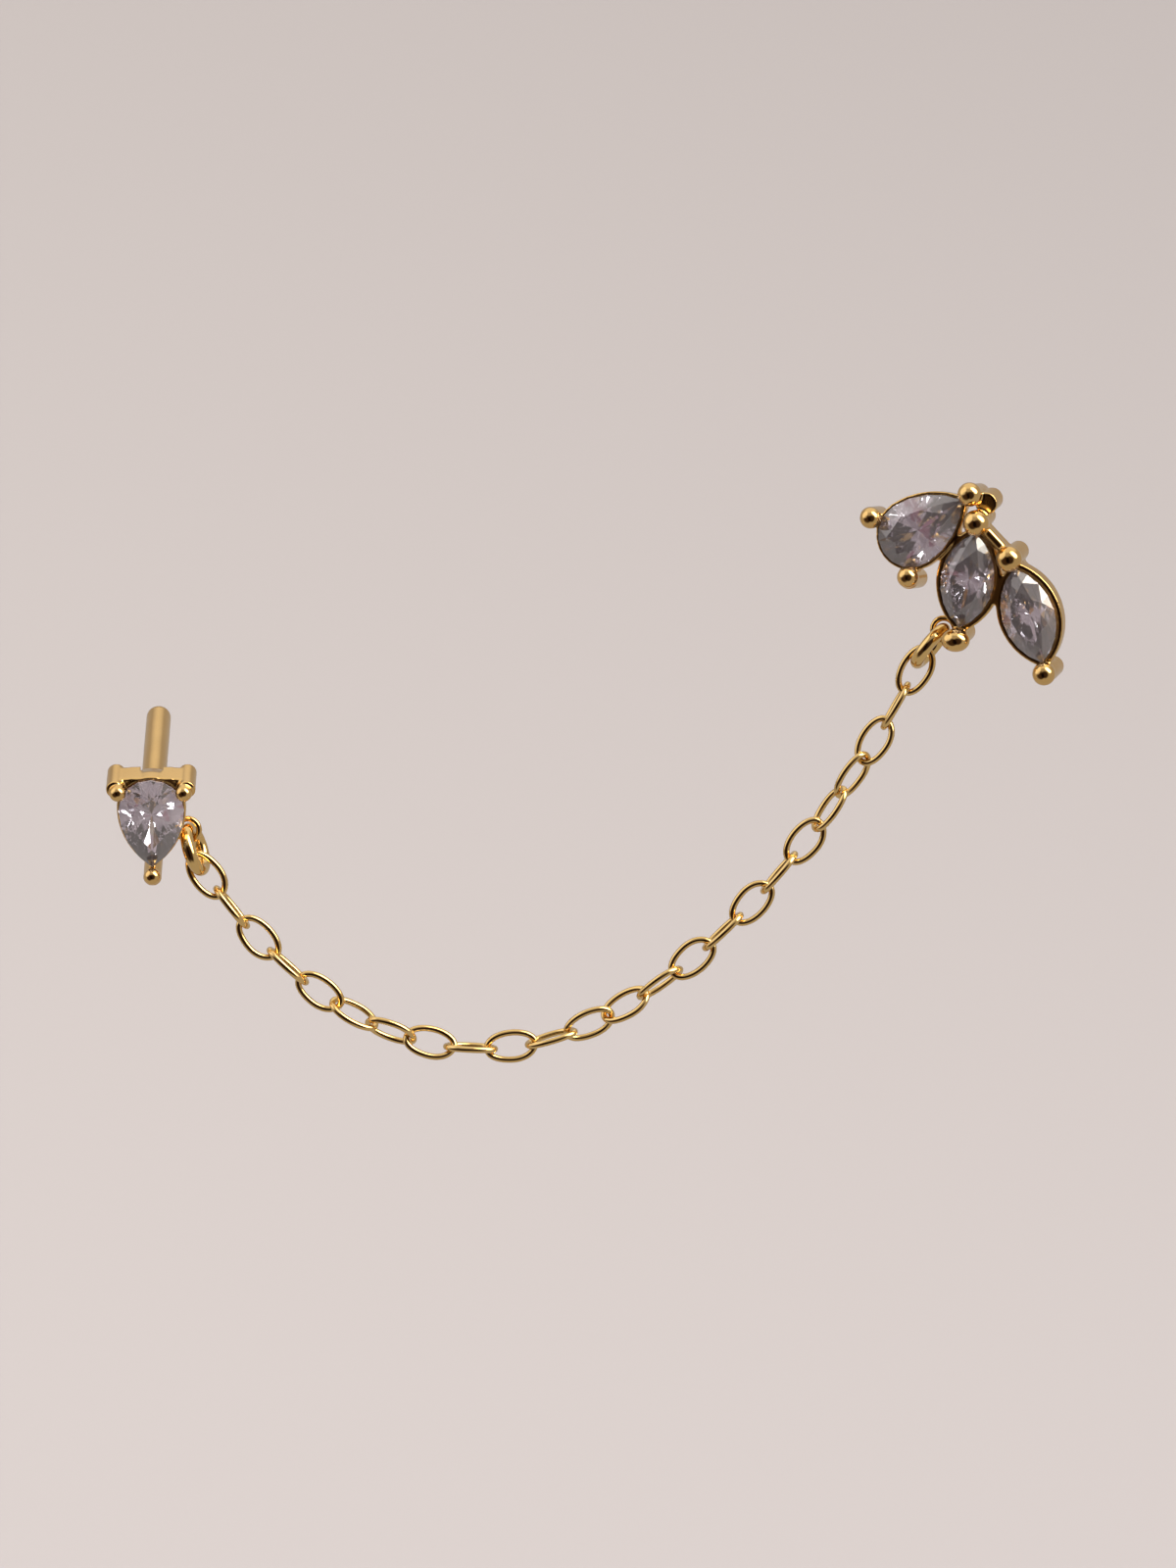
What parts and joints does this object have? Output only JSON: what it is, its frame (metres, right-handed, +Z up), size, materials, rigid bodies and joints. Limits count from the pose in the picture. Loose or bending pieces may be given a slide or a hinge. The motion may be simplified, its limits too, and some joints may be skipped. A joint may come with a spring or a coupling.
{
  "type": "ear chain earring",
  "caption": "Ear chain earring: a pear stone stud and a stud with a cluster of pear and marquise stones, joined by a fine cable chain that hangs between two piercings.",
  "frame": {"origin": "where the cluster's post goes into its piercing: the root of the post, at the back of the setting", "axes": "+X along the chain, from the single stud to the cluster; +Y away from whoever looks at the stones, into the ear; +Z up as it is worn"},
  "size_m": [0.0306, 0.0081, 0.0191],
  "materials": {
    "gold": "polished warm yellow gold plate",
    "clear_stone": "polished flat facets, clear"
  },
  "bodies": {
    "root": {"single_setting": "gold", "single_pear_stone": "clear_stone", "single_jump_ring": "gold", "link_01": "gold", "link_02": "gold", "link_03": "gold", "link_04": "gold", "link_05": "gold", "link_06": "gold", "link_07": "gold", "link_08": "gold", "link_09": "gold", "link_10": "gold", "link_11": "gold", "link_12": "gold", "link_13": "gold", "link_14": "gold", "link_15": "gold", "link_16": "gold", "link_17": "gold", "link_18": "gold", "link_19": "gold", "link_20": "gold", "link_21": "gold", "link_22": "gold", "link_23": "gold", "link_24": "gold", "cluster_jump_ring": "gold", "cluster_setting": "gold", "cluster_pear_stone": "clear_stone", "inner_marquise_stone": "clear_stone", "outer_marquise_stone": "clear_stone"}
  },
  "joints": []
}
